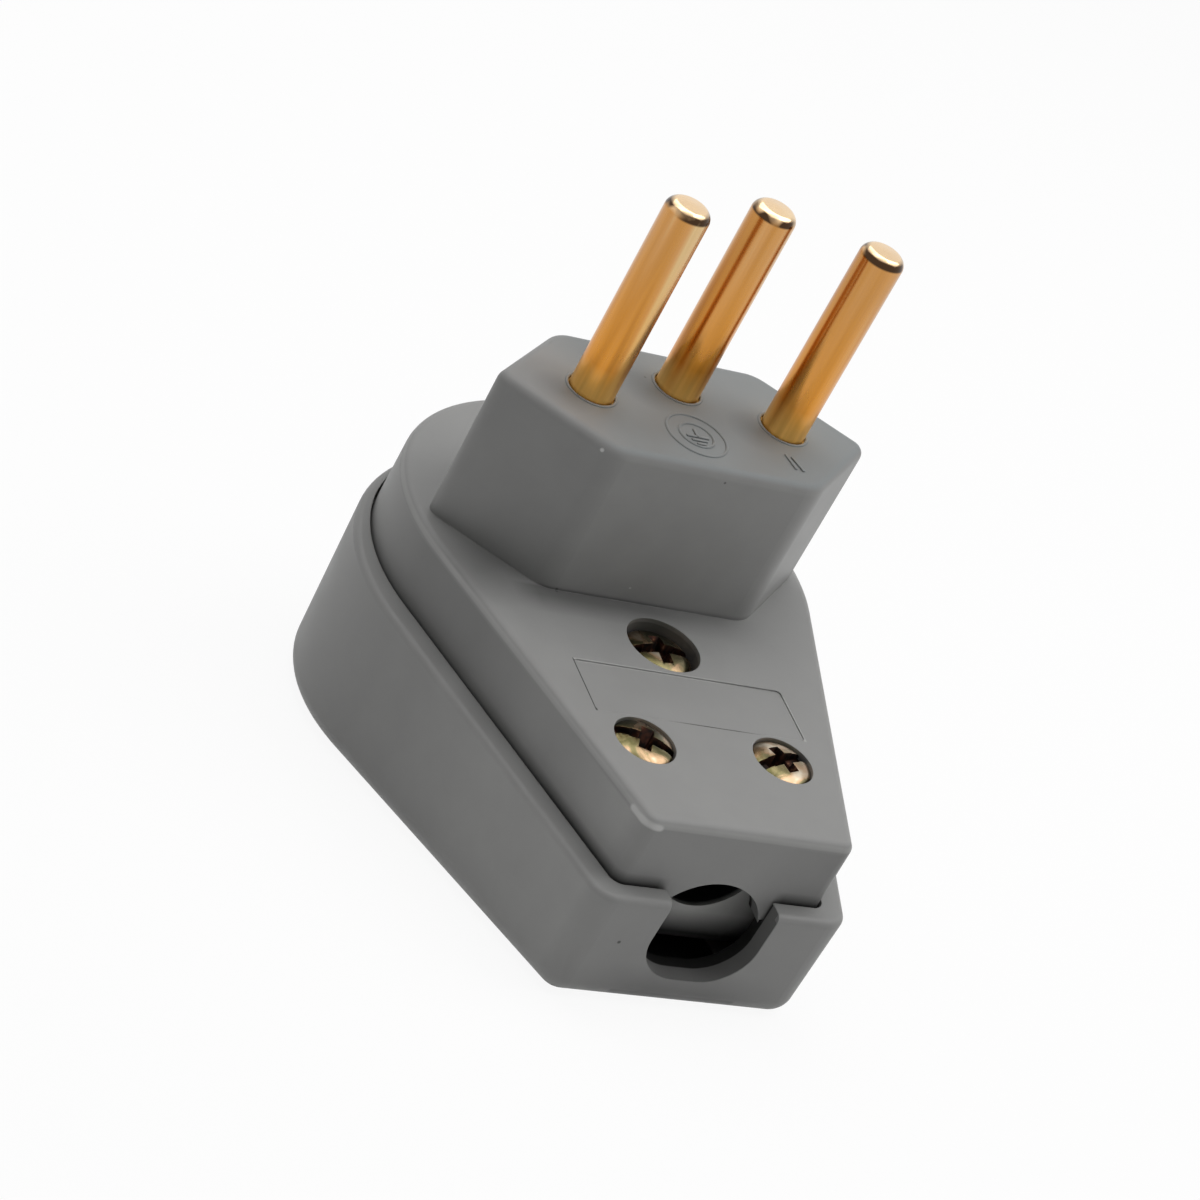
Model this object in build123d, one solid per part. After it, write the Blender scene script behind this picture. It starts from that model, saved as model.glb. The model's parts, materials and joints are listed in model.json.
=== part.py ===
from build123d import *
import math
import os

# Sizes in millimetres and degrees. The pieces are drawn with the engagement face on Z = 0,
# the pins along +Z, +X from the line pin to the neutral pin and the cord leaving along -Y.
# At the end each piece is laid on the flat back of the plug.

# Pins
pin_diameter = 4.0
pin_length = 19.0
pin_pitch = 19.0
earth_offset = 3.0
pin_tip_round = 1.6
pin_collar_diameter = 4.5
pin_head_diameter = 6.6
pin_neck_diameter = 5.4
pin_neck_length = 5.7
pin_edge_break = 0.3

# Nose
nose_width = 36.9
nose_thickness = 16.6
nose_flat = 20.0
nose_height = 14.6
nose_wall = 2.2
nose_face_wall = 3.0
nose_tip_radius = 1.2
nose_corner_radius = 3.0
nose_face_round = 0.9
tower_wall = 1.3
web_thickness = 1.6

# Body outline at the parting line: a round end, two straight sides and a flat cord end
body_radius = 19.5
round_centre_y = 0.6
side_angle = 16.0
cord_end = 36.3
end_corner_radius = 1.2
inner_corner_radius = 0.6

# Front shell
cover_height = 6.5
cover_wall = 2.1
cover_draft = 0.7
cover_round = 0.8
skirt_depth = 2.1

# Rear shell
rear_centre_y = -0.9
rim_ledge = 1.95
rim_gap = 0.2
rim_round = 0.6
rear_wall = 2.7
rear_floor = 2.2
rear_draft = 1.1
back_depth = 36.9
back_angle = 7.1
back_round = 2.2
rear_corner_radius = 2.4
rib_thickness = 1.2
rib_start_y = -1.5

# Cord entry
notch_half_width = 5.05
notch_sill = 3.33
notch_corner_radius = 4.0
arch_margin = 0.15
tongue_gap = 0.12

# Rating panel
panel_width = 20.1
panel_length = 6.2
panel_centre_y = -20.3
panel_recess = 0.12
panel_corner_radius = 0.4

# Cover screw
cover_screw_y = -13.4
cover_bore_diameter = 6.8
cover_bore_depth = 2.6
cover_head_diameter = 6.2
cover_head_height = 2.2
cover_shank_diameter = 3.5
cover_screw_floor_gap = 1.6
cover_boss_wall = 1.4
post_diameter = 7.0

# Clamp screws and nuts
clamp_screw_edge = 5.94
clamp_screw_y = -26.4
clamp_bore_diameter = 5.5
clamp_bore_depth = 2.0
clamp_head_diameter = 5.2
clamp_head_height = 1.8
clamp_shank_diameter = 3.0
clamp_screw_proud = 0.5
clamp_seat = 2.0
clamp_boss_diameter = 8.0
nut_across_flats = 5.5
nut_height = 2.4

# Cord clamp
groove_side_wall = 0.5
groove_floor = 3.4
clamp_length = 11.2
clamp_side_gap = 0.3
clamp_floor_gap = 2.4
grip_ridge_height = 0.6
grip_ridge_width = 1.0
grip_ridge_pitch = 3.0

# Pin retainer and its screws
retainer_inset = 0.9
retainer_thickness = 2.2
retainer_screw_x = 4.75
retainer_screw_y = -4.2
retainer_head_diameter = 4.2
retainer_head_height = 1.6
retainer_shank_diameter = 2.2
retainer_screw_length = 8.0
retainer_boss_wall = 1.3

# Terminal screws and washers
terminal_head_diameter = 5.6
terminal_head_height = 2.0
terminal_shank_diameter = 3.0
terminal_screw_length = 6.5
washer_diameter = 6.6
washer_thickness = 0.8

# Fits, and the driver recess as shares of a screw's head
slide_gap = 0.1
thread_gap = 0.05
hole_clearance = 0.2
drill_allowance = 1.0
dome_share = 0.7
slot_width = 0.9
slot_depth_share = 0.45
cross_width = 0.9
cross_length_share = 0.6
cross_depth_share = 0.65
cover_slot_turn = 4.0
left_slot_turn = -25.0
right_slot_turn = 20.0


def side_x(y):
    """Half width of the body outline at a place along its straight sides."""
    lean = math.radians(side_angle)
    return body_radius / math.cos(lean) + (y - round_centre_y) * math.tan(lean)


def back_level(y, inset=0):
    """Level of the flat back at a place along the cord, moved inwards by the inset."""
    return inset - back_depth - y * math.tan(math.radians(back_angle))


# Levels along the pins, worked out from the sizes above
cover_top = -nose_height
cover_inside = cover_top - cover_wall
parting = cover_top - cover_height
skirt_end = parting - skirt_depth
neck_end = cover_inside - pin_neck_length
retainer_back = cover_inside - retainer_thickness
washer_back = neck_end - washer_thickness
cover_screw_seat = cover_top - cover_bore_depth
clamp_screw_seat = cover_top - clamp_bore_depth
clamp_boss_end = clamp_screw_seat - clamp_seat
clamp_front_y = cover_wall + clamp_side_gap - cord_end
clamp_back = back_level(clamp_front_y, rear_floor) + clamp_floor_gap
groove_bottom = clamp_back + groove_floor
notch_bottom = back_level(-cord_end) + notch_sill
arch_centre = notch_bottom + notch_corner_radius - arch_margin
arch_radius = notch_half_width + arch_margin
far_below = -2 * back_depth

# Screw lengths
cover_screw_tip = back_level(cover_screw_y, rear_floor) + cover_screw_floor_gap
cover_screw_length = cover_screw_seat - cover_screw_tip
clamp_screw_length = clamp_screw_seat - clamp_back + clamp_screw_proud

# Places across the pins
clamp_screw_x = side_x(clamp_screw_y) - clamp_screw_edge
groove_radius = clamp_screw_x - clamp_shank_diameter / 2 - hole_clearance - groove_side_wall
pin_places = {
    "line": (-pin_pitch / 2, 0),
    "neutral": (pin_pitch / 2, 0),
    "earth": (0, earth_offset),
}
retainer_screw_places = {
    "left": (-retainer_screw_x, retainer_screw_y),
    "right": (retainer_screw_x, retainer_screw_y),
}
clamp_screw_places = {
    "left": (-clamp_screw_x, clamp_screw_y),
    "right": (clamp_screw_x, clamp_screw_y),
}
clamp_slot_turns = {"left": left_slot_turn, "right": right_slot_turn}
cover_screw_place = (0, cover_screw_y)


def rod(place, diameter, low, high):
    """Upright round bar between two levels."""
    x, y = place
    return Pos(x, y, (low + high) / 2) * Cylinder(diameter / 2, high - low)


def block(x_low, x_high, y_low, y_high, low, high):
    """Plain block between two corners."""
    centre = Pos((x_low + x_high) / 2, (y_low + y_high) / 2, (low + high) / 2)
    return centre * Box(x_high - x_low, y_high - y_low, high - low)


def rise(outline, height, draft=0):
    """Extrude a level outline upwards, drawn in by the draft."""
    return extrude(outline, height, taper=draft)


def sink(outline, depth, draft=0):
    """Extrude a level outline downwards, drawn in by the draft."""
    return extrude(outline, -depth, taper=draft)


def body_outline(offset, level, centre_y=round_centre_y, corner_radius=end_corner_radius):
    """Tear-shaped face of the body, grown by the offset, at one level."""
    lean = math.radians(side_angle)
    radius = body_radius + offset
    shoulder_x = radius * math.cos(lean)
    shoulder_y = centre_y - radius * math.sin(lean)
    end_y = -cord_end - offset
    end_x = shoulder_x - (shoulder_y - end_y) * math.tan(lean)
    far_point = (0, centre_y + radius)
    round_end = ThreePointArc((shoulder_x, shoulder_y), far_point, (-shoulder_x, shoulder_y))
    sides = Polyline((-shoulder_x, shoulder_y), (-end_x, end_y), (end_x, end_y), (shoulder_x, shoulder_y))
    face = make_face(Curve() + [round_end, sides])
    end_corners = face.vertices().group_by(Axis.Y)[0]
    return Pos(0, 0, level) * fillet(end_corners, max(corner_radius + min(offset, 0), inner_corner_radius))


def nose_outline(inset, level):
    """Six-sided face of the nose, shrunk by the inset, with rounded corners."""
    slant = math.atan2(nose_thickness, nose_width - nose_flat)
    tip = nose_width / 2 - inset / math.sin(slant)
    side = nose_thickness / 2 - inset
    flat = nose_flat / 2 - inset * math.tan(slant / 2)
    points = [(tip, 0), (flat, side), (-flat, side), (-tip, 0), (-flat, -side), (flat, -side)]
    face = make_face(Polyline(*points, close=True))
    along = face.vertices().sort_by(Axis.X)
    face = fillet([along[0], along[-1]], nose_tip_radius)
    across = face.vertices().group_by(Axis.Y)
    shoulders = across[0] + across[-1]
    return Pos(0, 0, level) * fillet(shoulders, max(nose_corner_radius - inset, inner_corner_radius))


def back_plane(inset):
    """Plane of the flat back, moved inwards along the pins by the inset."""
    lean = math.radians(back_angle)
    return Plane(origin=(0, 0, inset - back_depth), z_dir=(0, math.sin(lean), math.cos(lean)))


def front_body():
    """Outside of the front shell: cover, nose, skirt and tongue as one moulding."""
    cover = rise(body_outline(0, parting), cover_height, cover_draft)
    cover = fillet(cover.faces().sort_by(Axis.Z)[-1].edges(), cover_round)
    nose = sink(nose_outline(0, 0), nose_height + cover_wall)
    nose = fillet(nose.faces().sort_by(Axis.Z)[-1].edges(), nose_face_round)
    skirt = sink(body_outline(0, parting), skirt_depth)
    tongue_half = notch_half_width - tongue_gap
    tongue = block(-tongue_half, tongue_half, -cord_end, cover_wall - cord_end, arch_centre, parting)
    return cover + nose + skirt + tongue


def front_room():
    """Hollow of the front shell, less the towers, bosses and web that stand in it."""
    room = rise(body_outline(-cover_wall, skirt_end), cover_inside - skirt_end)
    room -= rod(cover_screw_place, cover_bore_diameter + 2 * cover_boss_wall, parting, 0)
    for place in clamp_screw_places.values():
        room -= rod(place, clamp_boss_diameter, clamp_boss_end, 0)
    pocket = sink(nose_outline(nose_wall, -nose_face_wall), -nose_face_wall - cover_inside)
    for place in pin_places.values():
        pocket -= rod(place, pin_head_diameter + 2 * tower_wall, cover_inside, 0)
    for place in retainer_screw_places.values():
        pocket -= rod(place, retainer_shank_diameter + 2 * retainer_boss_wall, cover_inside, 0)
    web_low = (earth_offset - web_thickness) / 2
    pocket -= block(-pin_pitch / 2, pin_pitch / 2, web_low, web_low + web_thickness, cover_inside, 0)
    return room + pocket


def cord_arch():
    """Round bar along the cord that cuts the arch in the end wall and the tongue."""
    reach = cover_wall + 2 * drill_allowance
    bar = Rot(90, 0, 0) * Cylinder(arch_radius, reach)
    return Pos(0, reach / 2 - drill_allowance - cord_end, arch_centre) * bar


def front_shell():
    """Front moulding with nose, pin towers, screw bosses, rating panel, skirt and tongue."""
    shell = front_body() - front_room() - cord_arch()
    for place in pin_places.values():
        shell -= rod(place, pin_collar_diameter + 2 * slide_gap, far_below, drill_allowance)
        shell -= rod(place, pin_head_diameter + 2 * slide_gap, far_below, -nose_face_wall)
    for place in retainer_screw_places.values():
        pilot_end = retainer_back + retainer_screw_length + drill_allowance
        shell -= rod(place, retainer_shank_diameter + 2 * thread_gap, far_below, pilot_end)
    shell -= rod(cover_screw_place, cover_bore_diameter, cover_screw_seat, 0)
    shell -= rod(cover_screw_place, cover_shank_diameter + 2 * hole_clearance, far_below, 0)
    for place in clamp_screw_places.values():
        shell -= rod(place, clamp_bore_diameter, clamp_screw_seat, 0)
        shell -= rod(place, clamp_shank_diameter + 2 * hole_clearance, far_below, 0)
    panel = RectangleRounded(panel_width, panel_length, panel_corner_radius)
    return shell - rise(Pos(0, panel_centre_y, cover_top - panel_recess) * panel, drill_allowance)


def cord_notch():
    """Round-bottomed slot for the cord through the end wall of the rear shell."""
    outside = cord_end + rim_ledge + drill_allowance
    wall = Plane(origin=(0, -outside, parting), x_dir=(1, 0, 0), z_dir=(0, -1, 0))
    profile = Rectangle(2 * notch_half_width, 2 * (parting - notch_bottom))
    profile = fillet(profile.vertices(), notch_corner_radius)
    return extrude(wall * profile, rear_wall + 2 * drill_allowance, dir=(0, 1, 0))


def rear_shell():
    """Rear moulding: a drafted tub with a rebated rim, a screw post and two barrier ribs."""
    outside = body_outline(rim_ledge, parting, rear_centre_y, rear_corner_radius)
    tub = sink(outside, 2 * back_depth, rear_draft)
    tub = split(tub, bisect_by=back_plane(0), keep=Keep.TOP)
    tub = fillet(tub.faces().sort_by(Axis.Z)[0].edges(), back_round)
    tub = fillet(tub.faces().sort_by(Axis.Z)[-1].edges(), rim_round)
    inside = body_outline(rim_ledge - rear_wall, parting, rear_centre_y)
    room = sink(inside, 2 * back_depth, rear_draft)
    room = split(room, bisect_by=back_plane(rear_floor), keep=Keep.TOP)
    room -= rod(cover_screw_place, post_diameter, far_below, parting)
    rib_x = pin_pitch / 4
    for x in (-rib_x, rib_x):
        side = x - rib_thickness / 2
        room -= block(side, side + rib_thickness, rib_start_y, 2 * body_radius, far_below, parting)
    rebate = sink(body_outline(rim_gap, parting), skirt_depth)
    rebate -= sink(body_outline(-cover_wall - rim_gap, parting), skirt_depth)
    pilot_end = cover_screw_tip - drill_allowance
    pilot = rod(cover_screw_place, cover_shank_diameter + 2 * thread_gap, pilot_end, 0)
    return tub - room - rebate - pilot - cord_notch()


def pin(place):
    """Round pin with a domed tip, a collar flush with the face, a head and a terminal neck."""
    shank = rod(place, pin_diameter, 0, pin_length)
    shank = fillet(shank.edges().sort_by(Axis.Z)[-1], pin_tip_round)
    collar = rod(place, pin_collar_diameter, -nose_face_wall, 0)
    head = rod(place, pin_head_diameter, cover_inside, -nose_face_wall)
    head = chamfer(head.edges().filter_by(GeomType.CIRCLE), pin_edge_break)
    neck = rod(place, pin_neck_diameter, neck_end, cover_inside)
    bore_end = washer_back + terminal_screw_length + drill_allowance
    solid = shank + collar + head + neck
    return solid - rod(place, terminal_shank_diameter + 2 * thread_gap, far_below, bore_end)


def pan_screw(head_diameter, head_height, shank_diameter, length, slot_turn=0):
    """Pan-head screw with a combined slot and cross, seated on Z = 0 with its head up."""
    on_seat = (Align.CENTER, Align.CENTER, Align.MIN)
    under_seat = (Align.CENTER, Align.CENTER, Align.MAX)
    head = Cylinder(head_diameter / 2, head_height, align=on_seat)
    head = fillet(head.edges().sort_by(Axis.Z)[-1], dome_share * head_height)
    slot_floor = head_height * (1 - slot_depth_share)
    head -= Pos(0, 0, slot_floor) * Box(head_diameter, slot_width, head_height, align=on_seat)
    cross_floor = head_height * (1 - cross_depth_share)
    cross_length = cross_length_share * head_diameter
    for turn in (0, 90):
        arm = Box(cross_length, cross_width, head_height, align=on_seat)
        head -= Pos(0, 0, cross_floor) * Rot(0, 0, turn) * arm
    return Rot(0, 0, slot_turn) * (head + Cylinder(shank_diameter / 2, length, align=under_seat))


def seat_screw(screw, place, level, head_down=False):
    """Put a screw on its seat, with its head towards the pins or away from them."""
    return Pos(*place, level) * Rot(180 if head_down else 0, 0, 0) * screw


def cover_screw():
    """Screw that holds the two shells together."""
    screw = pan_screw(
        cover_head_diameter, cover_head_height, cover_shank_diameter, cover_screw_length, cover_slot_turn
    )
    return seat_screw(screw, cover_screw_place, cover_screw_seat)


def clamp_screw(side):
    """Screw that draws the cord clamp up."""
    turn = clamp_slot_turns[side]
    screw = pan_screw(clamp_head_diameter, clamp_head_height, clamp_shank_diameter, clamp_screw_length, turn)
    return seat_screw(screw, clamp_screw_places[side], clamp_screw_seat)


def retainer_screw(side):
    """Small screw that holds the pin retainer in the nose."""
    screw = pan_screw(
        retainer_head_diameter, retainer_head_height, retainer_shank_diameter, retainer_screw_length
    )
    return seat_screw(screw, retainer_screw_places[side], retainer_back, head_down=True)


def terminal_screw(place):
    """Screw in the inner end of a pin that holds a bared wire."""
    screw = pan_screw(
        terminal_head_diameter, terminal_head_height, terminal_shank_diameter, terminal_screw_length
    )
    return seat_screw(screw, place, washer_back, head_down=True)


def clamp_washer(place):
    """Plain washer between a pin's neck and its terminal screw."""
    hole = rod(place, terminal_shank_diameter + 2 * hole_clearance, washer_back, neck_end)
    return rod(place, washer_diameter, washer_back, neck_end) - hole


def hexagon_bar(place, across_flats, low, high):
    """Upright six-sided bar between two levels, with one flat along the near side of the body."""
    x, y = place
    turn = math.copysign(30 - side_angle, x)
    outline = RegularPolygon(across_flats / 2, 6, major_radius=False, rotation=turn)
    return rise(Pos(x, y, low) * outline, high - low)


def clamp_nut(side):
    """Nut held in the cord clamp."""
    place = clamp_screw_places[side]
    nut = hexagon_bar(place, nut_across_flats, clamp_back, clamp_back + nut_height)
    return nut - rod(place, clamp_shank_diameter + 2 * thread_gap, far_below, 0)


def cord_groove():
    """Bar along the cord that cuts the clamp's groove and leaves its grip ridges."""
    axis_level = groove_bottom + groove_radius
    middle_y = clamp_screw_y
    bar = Cylinder(groove_radius, 2 * cord_end)
    for step in (-1, 1):
        ring = Cylinder(groove_radius, grip_ridge_width)
        ring -= Cylinder(groove_radius - grip_ridge_height, grip_ridge_width)
        bar -= Pos(0, 0, step * grip_ridge_pitch / 2) * ring
    mouth = block(-groove_radius, groove_radius, -2 * cord_end, 0, axis_level, 0)
    return Pos(0, middle_y, axis_level) * Rot(90, 0, 0) * bar + mouth


def cord_clamp():
    """Saddle that grips the cord, with a groove along the cord and pockets for two nuts."""
    plan = body_outline(-cover_wall - clamp_side_gap, clamp_back)
    clamp = rise(plan, clamp_boss_end - clamp_back)
    rear_y = clamp_front_y + clamp_length
    clamp &= block(-body_radius, body_radius, clamp_front_y, rear_y, clamp_back, clamp_boss_end)
    clamp -= cord_groove()
    for place in clamp_screw_places.values():
        clamp -= hexagon_bar(place, nut_across_flats + 2 * slide_gap, clamp_back, clamp_back + nut_height)
        clamp -= rod(place, clamp_shank_diameter + 2 * hole_clearance, far_below, 0)
    return clamp


def pin_retainer():
    """Insulating plate behind the nose that keeps the three pins in their towers."""
    plate = sink(nose_outline(retainer_inset, cover_inside), retainer_thickness)
    for place in pin_places.values():
        plate -= rod(place, pin_neck_diameter + 2 * slide_gap, far_below, 0)
    for place in retainer_screw_places.values():
        plate -= rod(place, retainer_shank_diameter + 2 * hole_clearance, far_below, 0)
    return plate


def lay_on_back(shape):
    """Turn and lift a piece so that the plug lies on its flat back."""
    return Rot(back_angle, 0, 0) * Pos(0, 0, back_depth) * shape


pieces = {
    "front_shell": front_shell(),
    "rear_shell": rear_shell(),
    "pin_retainer": pin_retainer(),
    "cord_clamp": cord_clamp(),
    "cover_screw": cover_screw(),
}
for name, place in pin_places.items():
    pieces[name + "_pin"] = pin(place)
    pieces[name + "_clamp_washer"] = clamp_washer(place)
    pieces[name + "_terminal_screw"] = terminal_screw(place)
for side in ("left", "right"):
    pieces["clamp_screw_" + side] = clamp_screw(side)
    pieces["clamp_nut_" + side] = clamp_nut(side)
    pieces["retainer_screw_" + side] = retainer_screw(side)

os.makedirs("parts", exist_ok=True)
for name, piece in pieces.items():
    export_step(lay_on_back(piece), "parts/" + name + ".step")
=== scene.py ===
import json
import math

import bmesh
import bpy
from mathutils import Matrix, Vector


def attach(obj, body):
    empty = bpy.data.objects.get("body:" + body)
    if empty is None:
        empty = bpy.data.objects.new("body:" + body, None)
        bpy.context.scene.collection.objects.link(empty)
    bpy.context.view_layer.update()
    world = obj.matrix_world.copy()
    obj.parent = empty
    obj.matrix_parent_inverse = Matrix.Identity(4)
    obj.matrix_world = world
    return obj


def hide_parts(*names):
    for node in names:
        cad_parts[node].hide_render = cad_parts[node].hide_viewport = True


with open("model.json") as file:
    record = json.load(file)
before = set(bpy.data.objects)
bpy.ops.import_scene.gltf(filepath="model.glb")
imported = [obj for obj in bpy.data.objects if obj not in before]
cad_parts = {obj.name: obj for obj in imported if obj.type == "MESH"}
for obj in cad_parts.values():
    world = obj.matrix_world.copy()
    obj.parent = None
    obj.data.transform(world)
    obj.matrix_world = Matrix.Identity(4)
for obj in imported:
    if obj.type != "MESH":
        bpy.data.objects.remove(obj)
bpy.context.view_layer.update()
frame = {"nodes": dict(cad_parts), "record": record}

# A grounded plug lying on its flat back: two grey shells, three brass pins and plated screws.
# Lengths are in metres, apart from those of the tones, which are in millimetres.
# Places on the plug are given from the middle of the nose face: +X from the line pin to the
# neutral pin (across), +Y away from the cord (along) and +Z along the pins (up).
MM = 0.001

# The photograph's camera
CAMERA_PLACE = Vector((-149.76, -231.3, 140.71)) * MM
CAMERA_RIGHT = Vector((0.8526, -0.354, 0.3843))
CAMERA_UP = Vector((-0.1457, 0.5452, 0.8255))
CAMERA_BACK = Vector((-0.5018, -0.7598, 0.4133))
CAMERA_LENS = 104.438
SENSOR_WIDTH = 36.0

# Light
FLOOR_SIZE = 8.0
FLOOR_GREY = 0.9
FLOOR_GLOW = 0.92
SKY_LEVEL = 0.12
SKY_SPREAD = 0.25
SKY_RANGE = (-0.2, 0.9)
LAMP_AIM = (0, -0.01, 0.02)
LAMPS = {
    "overhead_lamp": {"place": (-0.05, 0.2, 0.5), "size": 0.45, "watts": 1.0},
    "top_lamp": {"place": (0.0, -0.05, 0.6), "size": 0.5, "watts": 0.9},
    "right_lamp": {"place": (0.35, -0.08, 0.5), "size": 0.4, "watts": 1.4},
}

# Screws with a domed head and a combined slot and cross
HEAD_SPREAD = 0.12 * MM
SLOT_WIDTH = 0.95 * MM
CROSS_WIDTH = 1.25 * MM
CROSS_DEPTH = 1.7 * MM
CROSS_SHARE = 0.70
CROSS_FOOT = 0.45
RECESS_EDGE = 0.05 * MM
RECESS_ANGLE = 40
DOME_STEPS = 14
SCREW_STEPS = 64
THREAD_PITCH = 0.7 * MM
THREAD_DEPTH = 0.25 * MM
SCREWS = {
    "cover_screw": {
        "head": 2.2 * MM, "rim": 1.15 * MM, "crown": 2.25 * MM, "slot": 1.15 * MM,
        "shank": 3.5 * MM, "thread": 8.0 * MM, "turn": 4.0,
    },
    "clamp_screw_left": {
        "head": 1.8 * MM, "rim": 1.55 * MM, "crown": 2.3 * MM, "slot": 0.95 * MM,
        "shank": 3.0 * MM, "thread": 7.0 * MM, "turn": -25.0,
    },
    "clamp_screw_right": {
        "head": 1.8 * MM, "rim": 1.5 * MM, "crown": 2.25 * MM, "slot": 0.95 * MM,
        "shank": 3.0 * MM, "thread": 7.0 * MM, "turn": 20.0,
    },
}

# Pins, from the tip to the bore of the terminal screw
PINS = ("line", "neutral", "earth")
PIN_RADIUS = 2.0 * MM
TIP_ROUND = 0.95 * MM
TIP_CROWN = 0.1 * MM
TIP_SHY = 0.1 * MM
COLLAR_RADIUS = 2.25 * MM
COLLAR_DROP = 0.3 * MM
COLLAR_FOOT = -3.0 * MM
PIN_HEAD_RADIUS = 3.3 * MM
PIN_HEAD_FOOT = -16.7 * MM
PIN_CHAMFER = 0.3 * MM
PIN_NECK_RADIUS = 2.7 * MM
PIN_BORE_RADIUS = 1.55 * MM
PIN_BORE_DEPTH = 6.7 * MM
ROUND_STEPS = 96
LIP_RADIUS = 2.26 * MM
LIP_WIDTH = 0.3 * MM

# Fine relief on the nose face: two rings round an earth sign, and two strokes by the neutral pin
RELIEF_WIDTH = 0.28 * MM
RELIEF_HEIGHT = 0.11 * MM
RELIEF_SINK = 0.05 * MM
RELIEF_BEVEL = 0.3 * RELIEF_HEIGHT
RING_STEPS = 6
RING_PLACE = Vector((-0.65, -3.7, 0)) * MM
RING_RADII = {"outer_ring": 2.8 * MM, "inner_ring": 1.6 * MM}
EARTH_STEM = 0.9 * MM
EARTH_BARS = (1.9 * MM, 1.25 * MM, 0.6 * MM)
EARTH_BAR_STEP = 0.5 * MM
STROKES = (
    (Vector((8.15, -4.05, 0)) * MM, Vector((8.42, -5.75, 0)) * MM),
    (Vector((8.71, -4.3, 0)) * MM, Vector((9.13, -5.85, 0)) * MM),
)

# Plastic: colours, scales of its noise, height of its grain and tones against the colour, among them painted
# shade and painted light.
# From here on to the brass of the pins, places and sizes without MM are in millimetres.
SHELL_COLOUR = (0.275, 0.275, 0.27)
INNER_COLOUR = (0.32, 0.32, 0.31)
MOTTLE_SCALE = 260
MOTTLE_TONES = (0.965, 1.035)
PATCH_SCALE = 420
GRAIN_SCALE = 5200
GRAIN_HEIGHT = 0.004 * MM
SHELL_EDGE = 0.12 * MM
INNER_EDGE = 0.1 * MM
EDGE_FACING = (0.995, 0.86)
EDGE_TONE = 1.45
# Painted shade on the walls of the screw bores
BORE_SHADE_TONE = 0.42
# Dark line of painted shade on the panel's outline, and painted light that lifts its shaded step wall
DARK_LINE_TONE = 0.12
LIT_LINE_TONE = 1.42
RUBBED_TONE = 2.0

# Painted shade inside the cord hole, less dark on the wall at its mouth: the end faces of the shells at its
# mouth, and spans that lead from nought to one
HOLLOW_SHADE_TONE = 0.02
MOUTH_WALL_SHADE_TONE = 0.62
FRONT_MOUTH = -36.3
REAR_MOUTH = -38.25
PARTING = -21.1
END_DRAFT = 0.02
HOLLOW_SIDES = (6.0, 5.7)
HOLLOW_FLOOR = (0.6, 1.4)
HOLLOW_START = (0.05, 0.15)
HOLLOW_END = (-10, -14)
WALL_END = (1.6, 1.5)
ARCH_CEILING = (-17.0, -17.1)
ARCH_WALL_SIDES = (3.2, 4.4)
LEDGE_CEILING = (-21.15, -21.25)
PAST_LEDGE_EDGE = (0.5, 0.6)
BELOW_LEDGE_EDGE = (-21.75, -21.85)

# Screw bores in the cover, whose walls are painted in shade: across, along and radius
BORES = ((0, -13.4, 3.4), (-6.6, -26.4, 2.75), (6.6, -26.4, 2.75))
BORE_MARGIN = 0.1
BORE_DEPTH = (-14.7, -15.1)

# Outline of the panel on the cover: a dark line of painted shade at its left and bottom, and painted light on
# the shaded step wall at its right and top
PANEL_HALF_WIDTH = 10.05
PANEL_LOW = -23.4
PANEL_HIGH = -17.2
PANEL_LINE = 0.16
PANEL_DARK_LINE = 0.256
PANEL_LIT_LINE = 0.32
PANEL_LEVEL = (-14.9, -14.8)
PANEL_BOTTOM = (-3.5, -0.5, 3.5, 6.0)
PANEL_TOP = (-10.1, -10.0, 3.5, 7.0)
PANEL_CORNER = (-17.7, -18.2)

# Painted light and painted shade on each shell: share of the colour, and the span along each axis that it
# keeps to.
# A span of two places goes from nought to one, and a span of four goes back to nought.
COVER_SIDE = (-15.3, -15.6)
COVER_FACE = (-15.0, -14.8, -14.5, -14.3)
# Front shell: painted light on the nose walls, cover rim and sides by the cord; painted shade on the rest,
# cooler on the nose face
FRONT_PAINTED_LIGHT = {
    "nose_wall": {"share": 1.24, "up": (-14.4, -14.1, -0.7, -0.4), "across": (-10.5, -8.5)},
    "nose_face": {"share": (0.81, 0.87, 0.90), "up": (-0.4, -0.1), "across": (-13, -8)},
    "under_nose": {
        "share": 0.56, "up": COVER_FACE,
        "along": (-11.6, -9.2, -8.2, -7.8), "across": (-13.0, -10.5, 0.0, 12.0),
    },
    "left_of_nose": {
        "share": 0.70, "up": COVER_FACE, "place": (-15.5, -7.2, -14.6), "radius": 5, "soft": 0.9,
    },
    "cover_rim": {"share": 1.28, "up": (-15.35, -15.2, -14.95, -14.8)},
    "side_by_nose": {"share": 0.78, "up": COVER_SIDE, "along": (-22, -13, -4, 4)},
    "side_by_cord": {"share": 1.22, "up": COVER_SIDE, "along": (-36.2, -34.0, -32, -26)},
    "right_of_end": {"share": 0.82, "up": COVER_SIDE, "along": (-36.0, -36.2), "across": (2, 9)},
}
# Rear shell: painted light on the sides by the cord, painted shade at the foot of the end face and along the
# bottom edge
REAR_PAINTED_LIGHT = {
    "side_by_cord": {"share": 1.19, "up": (-21.3, -21.6), "along": (-38.2, -36.0, -23, -13)},
    "foot_of_end": {
        "share": 0.42, "along": (-36.8, -38.2), "across": (-9.5, -3.0, 3.0, 9.5), "height": (4.5, 0),
    },
    "bottom_edge": {"share": 0.25, "height": (0.02, 0.06, 0.3, 0.8)},
}

# Shade on the nose face beside each pin
PIN_SHADE_PLACE = Vector((-3.2, -1.2, 0))
PIN_SHADE_RADIUS = 3.0
PIN_SHADE_SHARE = 0.68

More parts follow.
